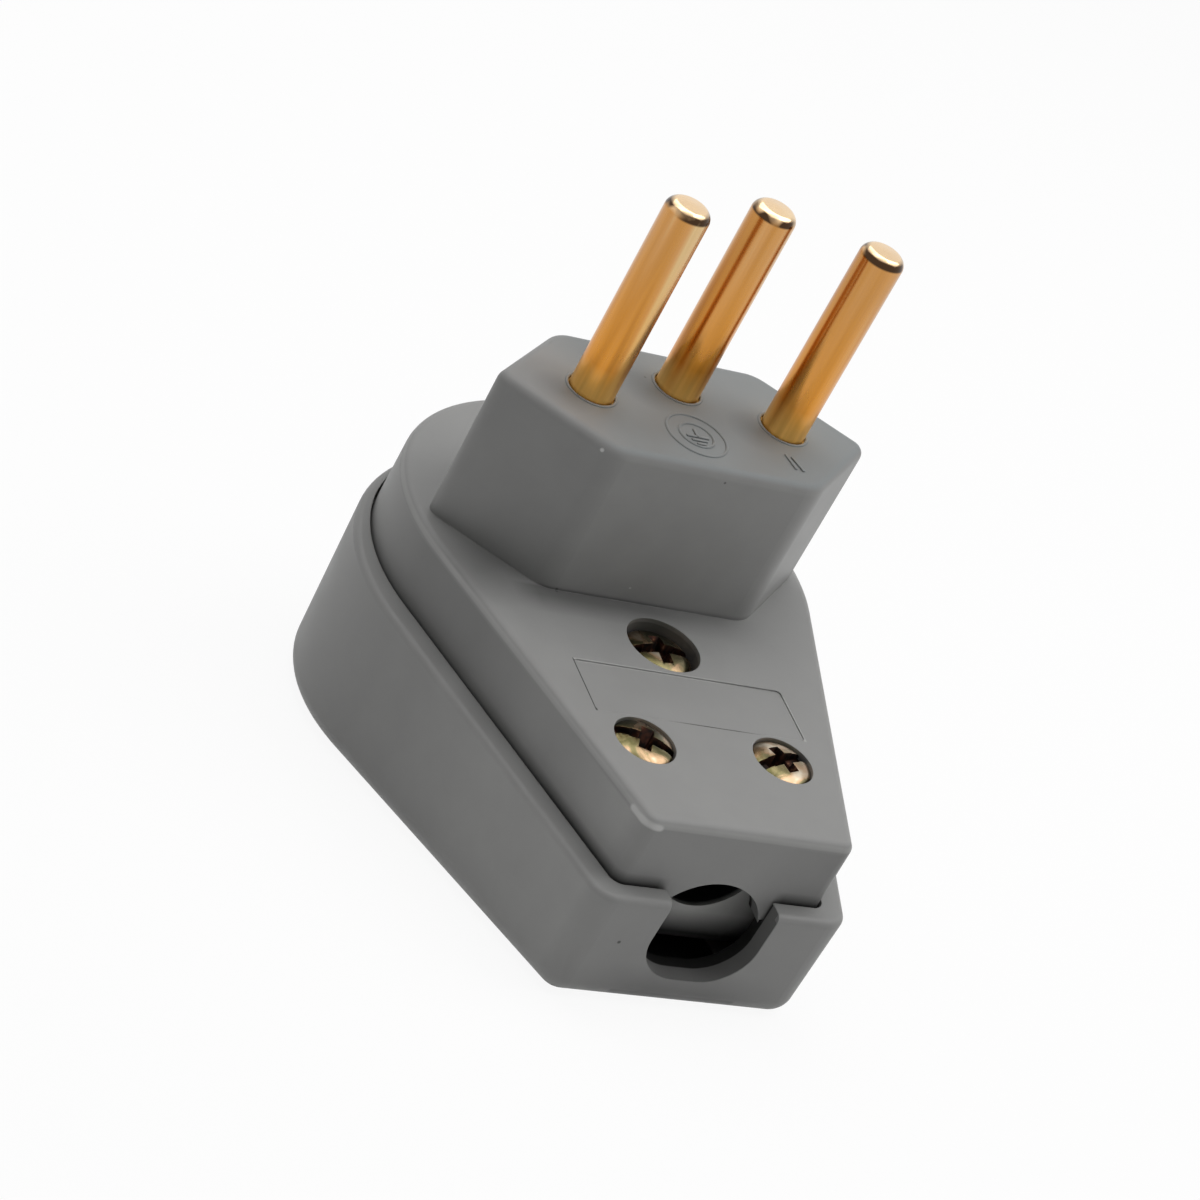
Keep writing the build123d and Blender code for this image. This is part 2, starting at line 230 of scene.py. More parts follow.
# Shade in the gap between the shells, which fades towards the nose and skips the tongue
GAP_SHARE = 0.28
GAP_HEIGHT = (-20.0, -21.1)
GAP_BEHIND_TONGUE = (-36.2, -35.7)
GAP_BESIDE_TONGUE = (4.9, 5.9)
GAP_FADE = (-14, -30)
GAP_FADED = 0.3

# Small marks on the moulding: place, radius and tone against the plastic
MARKS = (
    ((-10.79, -7.49, -0.75), 0.22, 2.2),
    ((-8.63, -8.40, -14.50), 0.20, 0.25),
    ((-2.17, -8.30, -13.12), 0.14, 1.9),
    ((-2.96, 3.67, 0.0), 0.15, 0.45),
    ((0.92, -8.30, -1.08), 0.15, 0.55),
    ((-7.77, -38.16, -25.62), 0.20, 0.25),
)

# Rubbed left corner of the cover: a row of soft spots along a bowed line
RUBBED_ENDS = (Vector((-10.25, -34.1, -15.25)), Vector((-8.5, -36.25, -15.25)))
RUBBED_BULGE = Vector((-0.38, -0.31, 0))
RUBBED_STEPS = 14
RUBBED_RADIUS = 0.36
RUBBED_SOFTNESS = 0.6

# Cord clamp: its colours, and the spans of painted shade that darken its foot and right side and blacken its
# groove
CLAMP_COLOURS = ((0.41, 0.41, 0.40), (0.46, 0.46, 0.45))
CLAMP_SHADE_BLACK = (0.004, 0.004, 0.004)
CLAMP_FOOT = (-27.6, -25.2)
CLAMP_FOOT_SHADE = 0.01
CLAMP_RIGHT = (4.5, 0.5)
CLAMP_RIGHT_SHADE = 0.6
CLAMP_GROOVE = (0.5, 0.1)

# Brass of the pins: spans up the pin, and colours, among them a painted highlight on the tip, a painted dark
# reflection below it and a painted reflection that brightens the foot
BRASS_UPPER = (3, 15)
BRASS_FOOT = (3.2, 0.4)
BRASS_DULL = (5.5, 0.5)
BRASS_TIP = (18.1, 18.6)
BRASS_DARK_REFLECTION = (17.95, 18.1, 18.5, 18.75)
BRASS_STRETCH = 0.035
FOOT_REFLECTION_COLOUR = (1.0, 0.66, 0.22)
TIP_HIGHLIGHT_COLOUR = (0.90, 0.68, 0.42)
DARK_REFLECTION_COLOUR = (0.05, 0.022, 0.006)
BRASS_TINT = (0.97, 0.94, 0.84)


def mount(name):
    """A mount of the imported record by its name."""
    return next(m for m in frame["record"]["mounts"] if m["name"] == name)


def pin_frame():
    """Matrix from places measured on the nose face to the row frame."""
    line, neutral = mount("line_pin"), mount("neutral_pin")
    up = Vector(line["axis"]).normalized()
    middle = (Vector(line["pos_m"]) + Vector(neutral["pos_m"])) / 2
    origin = middle - up * line["dims"]["length_mm"] * MM / 2
    side = Vector((1, 0, 0))
    along = up.cross(side)
    return Matrix((
        (side.x, along.x, up.x, origin.x),
        (side.y, along.y, up.y, origin.y),
        (side.z, along.z, up.z, origin.z),
        (0, 0, 0, 1),
    ))


PIN_FRAME = pin_frame()
LEAN = math.atan2(-PIN_FRAME[1][2], PIN_FRAME[2][2])


def reach(node):
    """Lowest and highest corner of a node, measured from the nose face."""
    back = PIN_FRAME.inverted()
    points = [back @ vertex.co for vertex in frame["nodes"][node].data.vertices]
    low = Vector(min(point[axis] for point in points) for axis in range(3))
    high = Vector(max(point[axis] for point in points) for axis in range(3))
    return low, high


def on_axis(node, height):
    """Move from the nose face's middle to a height on a node's own axis."""
    low, high = reach(node)
    return Matrix.Translation(((low.x + high.x) / 2, (low.y + high.y) / 2, height))


# Material helpers
def new_material(name):
    """Empty node material and its shader."""
    material = bpy.data.materials.new(name)
    material.use_nodes = True
    tree = material.node_tree
    return material, tree, tree.nodes["Principled BSDF"]


def add(tree, kind, **settings):
    """Add a node and set its properties."""
    made = tree.nodes.new(kind)
    for name, value in settings.items():
        setattr(made, name, value)
    return made


def coordinates(tree, scale=(1, 1, 1), lean=0.0, place=(0, 0, 0)):
    """Object coordinates, moved to a place, leaned with the pins and stretched by the scale."""
    source = add(tree, "ShaderNodeTexCoord")
    turn = add(tree, "ShaderNodeMapping", vector_type="TEXTURE")
    turn.inputs["Location"].default_value = place
    turn.inputs["Rotation"].default_value = (lean, 0, 0)
    stretch = add(tree, "ShaderNodeMapping", vector_type="POINT")
    stretch.inputs["Scale"].default_value = scale
    tree.links.new(source.outputs["Object"], turn.inputs["Vector"])
    tree.links.new(turn.outputs["Vector"], stretch.inputs["Vector"])
    return stretch.outputs["Vector"]


def split_axes(tree, vector):
    """The three numbers of a vector."""
    parts = add(tree, "ShaderNodeSeparateXYZ")
    tree.links.new(vector, parts.inputs["Vector"])
    return parts.outputs


def near(tree, vector, place, radius, soft=0.5):
    """One close to a place, falling to nought at the radius, both in millimetres."""
    gap = add(tree, "ShaderNodeVectorMath", operation="DISTANCE")
    tree.links.new(vector, gap.inputs[0])
    gap.inputs[1].default_value = Vector(place) * MM
    return remap(tree, gap.outputs["Value"], radius * MM * (1 - soft), radius * MM, 1, 0)


def noise(tree, vector, scale, detail=3.0, roughness=0.5, distortion=0.0):
    """Noise value of a given scale."""
    made = add(tree, "ShaderNodeTexNoise")
    made.inputs["Scale"].default_value = scale
    made.inputs["Detail"].default_value = detail
    made.inputs["Roughness"].default_value = roughness
    made.inputs["Distortion"].default_value = distortion
    tree.links.new(vector, made.inputs["Vector"])
    return made.outputs["Fac"]


def remap(tree, value, low, high, to_low, to_high):
    """Stretch a value from one range to another, held at its ends."""
    made = add(tree, "ShaderNodeMapRange")
    made.inputs["From Min"].default_value = low
    made.inputs["From Max"].default_value = high
    made.inputs["To Min"].default_value = to_low
    made.inputs["To Max"].default_value = to_high
    tree.links.new(value, made.inputs["Value"])
    return made.outputs["Result"]


def ramp(tree, value, stops):
    """Colour ramp through (place, colour) stops."""
    made = add(tree, "ShaderNodeValToRGB")
    elements = made.color_ramp.elements
    while len(elements) < len(stops):
        elements.new(0.5)
    for element, (place, colour) in zip(elements, stops):
        element.position = place
        element.color = (*colour, 1)
    tree.links.new(value, made.inputs["Fac"])
    return made.outputs["Color"]


def mix_colour(tree, factor, first, second, blend="MIX"):
    """Mix two colours, each an output or three numbers."""
    made = add(tree, "ShaderNodeMix", data_type="RGBA", blend_type=blend)
    for socket, value in ((made.inputs[0], factor), (made.inputs[6], first), (made.inputs[7], second)):
        if isinstance(value, (int, float)):
            socket.default_value = value
        elif isinstance(value, tuple):
            socket.default_value = (*value, 1)
        else:
            tree.links.new(value, socket)
    return made.outputs[2]


def compute(tree, operation, first, second=None):
    """Math node on outputs or numbers."""
    made = add(tree, "ShaderNodeMath", operation=operation)
    for socket, value in zip(made.inputs, (first, second)):
        if value is None:
            continue
        if isinstance(value, (int, float)):
            socket.default_value = value
        else:
            tree.links.new(value, socket)
    return made.outputs[0]


def product(tree, *values):
    """All the values multiplied."""
    result = values[0]
    for value in values[1:]:
        result = compute(tree, "MULTIPLY", result, value)
    return result


def span(tree, value, places, least=0):
    """The least at the first place and one at the second, in millimetres; four places lead back to nought."""
    mask = remap(tree, value, places[0] * MM, places[1] * MM, least, 1)
    if len(places) == 4:
        mask = product(tree, mask, remap(tree, value, places[2] * MM, places[3] * MM, 1, 0))
    return mask


def tint(tree, base, mask, share):
    """Base colour multiplied by a share where the mask is one."""
    shares = share if isinstance(share, tuple) else (share, share, share)
    return mix_colour(tree, mask, base, shares, "MULTIPLY")


def bump(tree, height, distance, strength=1.0, normal=None):
    """Bump from a height, in metres, over an optional normal."""
    made = add(tree, "ShaderNodeBump")
    made.inputs["Distance"].default_value = distance
    made.inputs["Strength"].default_value = strength
    tree.links.new(height, made.inputs["Height"])
    if normal is not None:
        tree.links.new(normal, made.inputs["Normal"])
    return made.outputs["Normal"]


def edge_mask(tree, radius):
    """One on sharp edges and nought on flats, and the softened normal."""
    soft = add(tree, "ShaderNodeBevel", samples=6)
    soft.inputs["Radius"].default_value = radius
    geometry = add(tree, "ShaderNodeNewGeometry")
    facing = add(tree, "ShaderNodeVectorMath", operation="DOT_PRODUCT")
    tree.links.new(soft.outputs["Normal"], facing.inputs[0])
    tree.links.new(geometry.outputs["Normal"], facing.inputs[1])
    return remap(tree, facing.outputs["Value"], *EDGE_FACING, 0, 1), soft.outputs["Normal"]


def plug_coordinates(tree, scale=(1, 1, 1)):
    """Coordinates measured from the nose face, along the pins, stretched by the scale."""
    return coordinates(tree, scale, LEAN, PIN_FRAME.translation)


# Masks and tones of the mouldings, with their painted light and painted shade
def hollow_masks(tree, mouth, arched):
    """Masks of the painted shade inside the cord hole and of the less shaded, lit wall at its mouth, for an
    end face at the mouth.
    """
    across, along, up = split_axes(tree, plug_coordinates(tree))
    height = split_axes(tree, coordinates(tree))[2]
    away = compute(tree, "ABSOLUTE", across)
    draft = compute(tree, "ABSOLUTE", compute(tree, "SUBTRACT", up, PARTING * MM))
    along = compute(tree, "SUBTRACT", along, compute(tree, "MULTIPLY", draft, END_DRAFT))
    inward = compute(tree, "SUBTRACT", along, mouth * MM)
    under = span(tree, up, ARCH_CEILING if arched else LEDGE_CEILING)
    if not arched:
        past_edge = span(tree, inward, PAST_LEDGE_EDGE)
        below_edge = span(tree, up, BELOW_LEDGE_EDGE)
        under = product(tree, under, compute(tree, "MAXIMUM", past_edge, below_edge))
    length = product(tree, span(tree, inward, HOLLOW_START), span(tree, along, HOLLOW_END))
    above = span(tree, height, HOLLOW_FLOOR)
    inside = product(tree, length, span(tree, away, HOLLOW_SIDES), under, above)
    lit = product(tree, inside, span(tree, inward, WALL_END))
    if arched:
        lit = product(tree, lit, span(tree, away, ARCH_WALL_SIDES))
    return inside, lit


def bore_mask(tree):
    """One on the walls of the three screw bores, which are painted in shade."""
    flat = plug_coordinates(tree, scale=(1, 1, 0))
    depth = split_axes(tree, plug_coordinates(tree))[2]
    rings = [near(tree, flat, (x, y, 0), radius + BORE_MARGIN, soft=0.02) for x, y, radius in BORES]
    mask = rings[0]
    for ring in rings[1:]:
        mask = compute(tree, "MAXIMUM", mask, ring)
    return product(tree, mask, span(tree, depth, BORE_DEPTH))


def line_mask(tree, value, place, width):
    """One on a fine line where a value meets a place, in millimetres."""
    gap = compute(tree, "ABSOLUTE", compute(tree, "SUBTRACT", value, place * MM))
    return span(tree, gap, (width / 2, width / 4))


def panel_masks(tree):
    """Mask of the panel outline's dark line of painted shade and mask of its stretches of painted light."""
    across, along, up = split_axes(tree, plug_coordinates(tree))
    on_cover = span(tree, up, PANEL_LEVEL)
    over_low = span(tree, along, (PANEL_LOW - PANEL_LINE, PANEL_LOW))
    under_high = span(tree, along, (PANEL_HIGH + PANEL_LINE, PANEL_HIGH))
    left = product(
        tree, line_mask(tree, across, -PANEL_HALF_WIDTH, PANEL_DARK_LINE), over_low, under_high, on_cover
    )
    bottom = product(
        tree, line_mask(tree, along, PANEL_LOW, PANEL_DARK_LINE), span(tree, across, PANEL_BOTTOM), on_cover
    )
    right = product(
        tree, line_mask(tree, across, PANEL_HALF_WIDTH, PANEL_LIT_LINE),
        over_low, span(tree, along, PANEL_CORNER), on_cover,
    )
    top = product(
        tree, line_mask(tree, along, PANEL_HIGH, PANEL_LIT_LINE), span(tree, across, PANEL_TOP), on_cover
    )
    return compute(tree, "MAXIMUM", left, bottom), compute(tree, "MAXIMUM", right, top)


def painted_light_and_shade(tree, base, tones):
    """Base colour times the share of each tone of painted light and painted shade, inside its spans."""
    on_plug = plug_coordinates(tree)
    across, along, up = split_axes(tree, on_plug)
    height = split_axes(tree, coordinates(tree))[2]
    axes = {"across": across, "along": along, "up": up, "height": height}
    for tone in tones.values():
        masks = [span(tree, axes[axis], tone[axis]) for axis in axes if axis in tone]
        if "place" in tone:
            masks.append(near(tree, on_plug, tone["place"], tone["radius"], tone["soft"]))
        base = tint(tree, base, product(tree, *masks), tone["share"])
    return base


def contact_shades(tree, base):
    """Base colour darkened beside the pins and in the gap between the shells."""
    on_plug = plug_coordinates(tree)
    across, along, up = split_axes(tree, on_plug)
    for name in PINS:
        foot = on_axis(name + "_pin", 0).translation / MM + PIN_SHADE_PLACE
        base = tint(tree, base, near(tree, on_plug, foot, PIN_SHADE_RADIUS, 1.0), PIN_SHADE_SHARE)
    beside_tongue = span(tree, compute(tree, "ABSOLUTE", across), GAP_BESIDE_TONGUE)
    round_tongue = compute(tree, "MAXIMUM", span(tree, along, GAP_BEHIND_TONGUE), beside_tongue)
    fade = span(tree, along, GAP_FADE, GAP_FADED)
    return tint(tree, base, product(tree, round_tongue, span(tree, up, GAP_HEIGHT), fade), GAP_SHARE)


def toned(colour, share):
    """A colour times a share, held at white."""
    return tuple(min(part * share, 1) for part in colour)


def cover_marks(tree, base, colour):
    """The rubbed corner, the panel's outline in painted shade and painted light, and painted shade in the
    screw bores.
    """
    on_plug = plug_coordinates(tree)
    first, last = RUBBED_ENDS
    for step in range(RUBBED_STEPS):
        share = step / (RUBBED_STEPS - 1)
        spot = first.lerp(last, share) + 4 * share * (1 - share) * RUBBED_BULGE
        rubbed = near(tree, on_plug, spot, RUBBED_RADIUS, RUBBED_SOFTNESS)
        base = mix_colour(tree, rubbed, base, toned(colour, RUBBED_TONE))
    dark_line, lit_line = panel_masks(tree)
    # Painted shade along the panel's outline, and painted light on its shaded step wall
    base = mix_colour(tree, dark_line, base, toned(colour, DARK_LINE_TONE))
    base = mix_colour(tree, lit_line, base, toned(colour, LIT_LINE_TONE))
    # Painted shade on the walls of the screw bores
    return mix_colour(tree, bore_mask(tree), base, toned(colour, BORE_SHADE_TONE))


# Materials
def moulded_plastic(name, colour, edge_radius, mouth, tones=None):
    """Smooth grey moulding with a fine matt grain, faint mottling, rubbed edges, painted light and shade on
    the shells and painted shade inside the cord hole.
    """
    material, tree, shader = new_material(name)
    place = coordinates(tree)
    cover = tones is FRONT_PAINTED_LIGHT
    mottle = noise(tree, place, MOTTLE_SCALE, detail=4)
    grain = noise(tree, place, GRAIN_SCALE, detail=2)
    dark, pale = MOTTLE_TONES
    base = ramp(tree, mottle, ((0.3, toned(colour, dark)), (0.7, toned(colour, pale))))
    if tones is not None:
        base = painted_light_and_shade(tree, base, tones)
        if cover:
            base = contact_shades(tree, base)
        for spot, radius, share in MARKS:
            mark = near(tree, plug_coordinates(tree), spot, radius)
            base = mix_colour(tree, mark, base, toned(colour, share))
    if cover:
        base = cover_marks(tree, base, colour)
    edges, soft_normal = edge_mask(tree, edge_radius)
    patchy = remap(tree, noise(tree, place, PATCH_SCALE, detail=5), 0.42, 0.62, 0.0, 0.5)
    base = mix_colour(tree, product(tree, edges, patchy), base, toned(colour, EDGE_TONE))
    # Painted shade inside the cord hole, with the wall at its mouth painted less dark
    inside, lit = hollow_masks(tree, mouth, cover)
    base = mix_colour(tree, inside, base, toned(colour, HOLLOW_SHADE_TONE))
    if tones is not None:
        base = mix_colour(tree, lit, base, toned(colour, MOUTH_WALL_SHADE_TONE))
    tree.links.new(base, shader.inputs["Base Color"])
    tree.links.new(remap(tree, mottle, 0.3, 0.7, 0.46, 0.56), shader.inputs["Roughness"])
    shader.inputs["Specular IOR Level"].default_value = 0.3
    tree.links.new(bump(tree, grain, GRAIN_HEIGHT, 0.6, soft_normal), shader.inputs["Normal"])
    return material


def clamp_face():
    """Grey moulding of the cord clamp, with painted shade that darkens it towards its foot and right side and
    blackens its groove.
    """
    material, tree, shader = new_material("clamp_plastic")
    across, along, up = split_axes(tree, plug_coordinates(tree))
    cloud = noise(tree, coordinates(tree), 300, detail=3)
    front = reach("cord_clamp")[0].y
    # Painted shade of the clamp's foot, right side and groove
    mask = product(
        tree,
        span(tree, up, CLAMP_FOOT, CLAMP_FOOT_SHADE),
        span(tree, across, CLAMP_RIGHT, CLAMP_RIGHT_SHADE),
        span(tree, compute(tree, "SUBTRACT", along, front), CLAMP_GROOVE),
    )
    dark, pale = CLAMP_COLOURS
    base = mix_colour(tree, mask, CLAMP_SHADE_BLACK, ramp(tree, cloud, ((0.3, dark), (0.7, pale))))
    tree.links.new(base, shader.inputs["Base Color"])
    shader.inputs["Roughness"].default_value = 0.55
    shader.inputs["Specular IOR Level"].default_value = 0.2
    return material


def pin_brass():
    """Drawn brass: orange gold, with long streaks, a paler tip as painted highlight, a painted dark
    reflection below it and a foot brightened as painted reflection.
    """
    material, tree, shader = new_material("pin_brass")
    drawn = plug_coordinates(tree, scale=(1, 1, BRASS_STRETCH))
    bands = noise(tree, drawn, 520, detail=2, roughness=0.4)
    streaks = noise(tree, drawn, 1500, detail=4, roughness=0.6)
    height = split_axes(tree, plug_coordinates(tree))[2]
    low = ramp(tree, bands, (
        (0.34, (0.40, 0.16, 0.02)),
        (0.46, (0.68, 0.29, 0.035)),
        (0.58, (0.74, 0.34, 0.07)),
        (0.70, (0.84, 0.50, 0.16)),
    ))
    high = ramp(tree, bands, (
        (0.34, (0.42, 0.16, 0.025)),
        (0.46, (0.56, 0.27, 0.07)),
        (0.58, (0.64, 0.34, 0.13)),
        (0.70, (0.74, 0.54, 0.30)),
    ))
    colour = mix_colour(tree, span(tree, height, BRASS_UPPER), low, high)
    # Painted reflection: a brighter orange foot
    colour = mix_colour(tree, product(tree, span(tree, height, BRASS_FOOT), 0.75), colour, FOOT_REFLECTION_COLOUR)
    fine = ramp(tree, streaks, ((0.32, (0.88, 0.85, 0.80)), (0.60, (1.0, 1.0, 1.0))))
    colour = mix_colour(tree, 1.0, colour, fine, "MULTIPLY")
    colour = tint(tree, colour, 1.0, BRASS_TINT)
    tip = span(tree, height, BRASS_TIP)
    # Painted highlight: a paler tip
    colour = mix_colour(tree, product(tree, tip, 0.8), colour, TIP_HIGHLIGHT_COLOUR)
    # Painted dark reflection in a ring below the tip
    cloudy = remap(tree, noise(tree, plug_coordinates(tree), 380, detail=2), 0.42, 0.52, 0, 1)
    dark_reflection = product(tree, span(tree, height, BRASS_DARK_REFLECTION), cloudy)
    colour = mix_colour(tree, dark_reflection, colour, DARK_REFLECTION_COLOUR)
    tree.links.new(colour, shader.inputs["Base Color"])
    shader.inputs["Metallic"].default_value = 1.0
    shader.inputs["Coat Weight"].default_value = 0.3
    shader.inputs["Coat Roughness"].default_value = 0.06
    shine = remap(tree, streaks, 0.3, 0.7, 0.18, 0.30)
    shine = compute(tree, "SUBTRACT", shine, product(tree, tip, 0.08))
    dull_foot = product(tree, span(tree, height, BRASS_DULL), 0.24)
    tree.links.new(compute(tree, "ADD", shine, dull_foot), shader.inputs["Roughness"])
    tree.links.new(bump(tree, streaks, 0.006 * MM, 0.5), shader.inputs["Normal"])
    return material


def yellow_zinc():
    """Pale yellow zinc plating with faint pink and green tints."""
    material, tree, shader = new_material("yellow_zinc")
    place = coordinates(tree)
    cloud = noise(tree, place, 420, detail=3, distortion=0.6)
    colour = ramp(tree, cloud, (
        (0.36, (0.075, 0.068, 0.028)),
        (0.46, (0.14, 0.12, 0.06)),
        (0.54, (0.31, 0.205, 0.12)),
        (0.66, (0.46, 0.40, 0.31)),
    ))
    tree.links.new(colour, shader.inputs["Base Color"])
    shader.inputs["Metallic"].default_value = 1.0
    tree.links.new(remap(tree, cloud, 0.3, 0.7, 0.20, 0.34), shader.inputs["Roughness"])
    fine = noise(tree, place, 2600, detail=4)
    tree.links.new(bump(tree, fine, 0.01 * MM, 0.5), shader.inputs["Normal"])
    return material


def recess_oxide_and_shade():
    """Dull brown metal in the driver recess of a screw, with scratched patches: its darkness is partly oxide
    and partly painted shade of the recess.
    """
    material, tree, shader = new_material("recess_oxide_and_shade")
    cloud = noise(tree, coordinates(tree), 1300, detail=4)
    colour = ramp(tree, cloud, (
        (0.42, (0.006, 0.003, 0.002)),
        (0.60, (0.05, 0.016, 0.008)),
        (0.72, (0.22, 0.11, 0.06)),
    ))
    tree.links.new(colour, shader.inputs["Base Color"])
    shader.inputs["Metallic"].default_value = 0.8
    shader.inputs["Roughness"].default_value = 0.45
    return material


def bright_steel():
    """Bright zinc plating on the small steel pieces inside."""
    material, tree, shader = new_material("bright_steel")
    cloud = noise(tree, coordinates(tree), 800, detail=4)
    colour = ramp(tree, cloud, ((0.3, (0.55, 0.56, 0.58)), (0.7, (0.74, 0.75, 0.76))))
    tree.links.new(colour, shader.inputs["Base Color"])
    shader.inputs["Metallic"].default_value = 1.0
    tree.links.new(remap(tree, cloud, 0.3, 0.7, 0.25, 0.4), shader.inputs["Roughness"])
    return material


def seen_directly(tree):
    """One for the camera and for what is seen in a mirror or through glass."""
    path = add(tree, "ShaderNodeLightPath")
    seen = compute(tree, "MAXIMUM", path.outputs["Is Camera Ray"], path.outputs["Is Glossy Ray"])
    return compute(tree, "MAXIMUM", seen, path.outputs["Is Transmission Ray"])


def floor_paint():
    """White floor that shows the plug's soft shadow."""
    material, tree, shader = new_material("floor_paint")
    shader.inputs["Base Color"].default_value = (FLOOR_GREY, FLOOR_GREY, FLOOR_GREY, 1)
    shader.inputs["Roughness"].default_value = 0.9
    glow = add(tree, "ShaderNodeEmission")
    blend = add(tree, "ShaderNodeMixShader")
    tree.links.new(product(tree, seen_directly(tree), FLOOR_GLOW), blend.inputs["Fac"])
    tree.links.new(shader.outputs["BSDF"], blend.inputs[1])
    tree.links.new(glow.outputs["Emission"], blend.inputs[2])
    tree.links.new(blend.outputs["Shader"], tree.nodes["Material Output"].inputs["Surface"])
    return material


# Pieces
def spin_outline(outline, steps, closed):
    """Round mesh from (radius, height) points, whose last point meets the first where it is closed."""
    shape = bmesh.new()
    points = [shape.verts.new((radius, 0, height)) for radius, height in outline]
    after = points[1:] + points[:1] if closed else points[1:]
    edges = [shape.edges.new(pair) for pair in zip(points, after)]
    bmesh.ops.spin(
        shape, geom=points + edges, cent=(0, 0, 0), axis=(0, 0, 1),
        angle=2 * math.pi, steps=steps, use_merge=True,
    )
    bmesh.ops.remove_doubles(shape, verts=shape.verts, dist=0.001 * MM)
    bmesh.ops.recalc_face_normals(shape, faces=shape.faces)
    return shape


def turn_about(angle):
    """Turn about the upright axis by an angle."""
    return Matrix.Rotation(angle, 3, "Z")


def piece_from(shape, name, materials, place=None):
    """Object from a bmesh measured from the nose face, with its place in its mesh."""
    if place is not None:
        bmesh.ops.transform(shape, matrix=place, verts=shape.verts)
    mesh = bpy.data.meshes.new(name)
    shape.to_mesh(mesh)
    shape.free()
    for material in materials:
        mesh.materials.append(material)
    made = bpy.data.objects.new(name, mesh)
    bpy.context.collection.objects.link(made)
    return made


def driver_cutter(head_width, head_height, slot_depth, turn):
    """Slot across the whole head and a cross that narrows as it goes down, both in the second material."""
    shape = bmesh.new()
    top = head_height + slot_depth
    arms = [(2 * head_width, SLOT_WIDTH, slot_depth, 1.0, 0)]
    for quarter in (0, 90):
        arms.append((CROSS_SHARE * head_width, CROSS_WIDTH, CROSS_DEPTH, CROSS_FOOT, quarter))
    for length, width, depth, foot, quarter in arms:
        made = bmesh.ops.create_cube(shape, size=1.0)["verts"]
        height = top - (head_height - depth)
        bmesh.ops.scale(shape, vec=(length, width, height), verts=made)
        bmesh.ops.translate(shape, vec=(0, 0, top - height / 2), verts=made)
        low = [vertex for vertex in made if vertex.co.z < head_height - depth + height / 2]
        bmesh.ops.scale(shape, vec=(foot, 0.5 + foot / 2, 1), verts=low)
        bmesh.ops.rotate(shape, cent=(0, 0, 0), matrix=turn_about(math.radians(turn + quarter)), verts=made)
    for face in shape.faces:
        face.material_index = 1
    return shape


def bake_modifiers(made):
    """Replace a piece's mesh by the result of its modifiers."""
    graph = bpy.context.evaluated_depsgraph_get()
    mesh = bpy.data.meshes.new_from_object(made.evaluated_get(graph))
    made.modifiers.clear()
    old = made.data
    made.data = mesh
    mesh.name = made.name
    bpy.data.meshes.remove(old)


def shade(made, angle=35):
    """Smooth shading with edges sharper than the angle kept."""
    made.data.shade_smooth()
    made.data.set_sharp_from_angle(angle=math.radians(angle))


def make_screw(node, zinc, recess):
    """Plated screw with a domed head, a slot and cross recess and a threaded shank."""
    sizes = SCREWS[node]
    low, high = reach(node)
    radius = (high.x - low.x) / 2 + HEAD_SPREAD
    seat = high.z - sizes["head"]
    shank = sizes["shank"] / 2
    tip = low.z - seat
    rim, crown = sizes["rim"], sizes["crown"]
    profile = [(0, crown)]
    for step in range(1, DOME_STEPS + 1):
        angle = math.pi / 2 * step / DOME_STEPS
        profile.append((radius * math.sin(angle), rim + (crown - rim) * math.cos(angle)))
    profile += [(radius, 0), (shank, 0), (shank, tip + sizes["thread"])]
    turns = int(sizes["thread"] / THREAD_PITCH) - 1
    for turn in range(turns):
        root = tip + sizes["thread"] - (turn + 0.5) * THREAD_PITCH
        profile += [(shank - THREAD_DEPTH, root), (shank, root - THREAD_PITCH / 2)]
    profile += [(shank - THREAD_DEPTH, tip), (0, tip)]
    screw = piece_from(spin_outline(profile, SCREW_STEPS, False), node + "_dressed", (zinc, recess))
    driver = driver_cutter(2 * radius, crown, sizes["slot"], sizes["turn"])
    cutter = piece_from(driver, node + "_cutter", (zinc, recess))
    cut = screw.modifiers.new("recess", "BOOLEAN")
    cut.operation = "DIFFERENCE"
    cut.solver = "EXACT"
    cut.use_self = True
    cut.object = cutter
    soften = screw.modifiers.new("soft edges", "BEVEL")
    soften.width = RECESS_EDGE
    soften.segments = 2
    soften.limit_method = "ANGLE"
    soften.angle_limit = math.radians(RECESS_ANGLE)
    bake_modifiers(screw)
    bpy.data.objects.remove(cutter)
    screw.data.transform(PIN_FRAME @ on_axis(node, seat))
    shade(screw)
    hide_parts(node)
    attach(screw, "root")


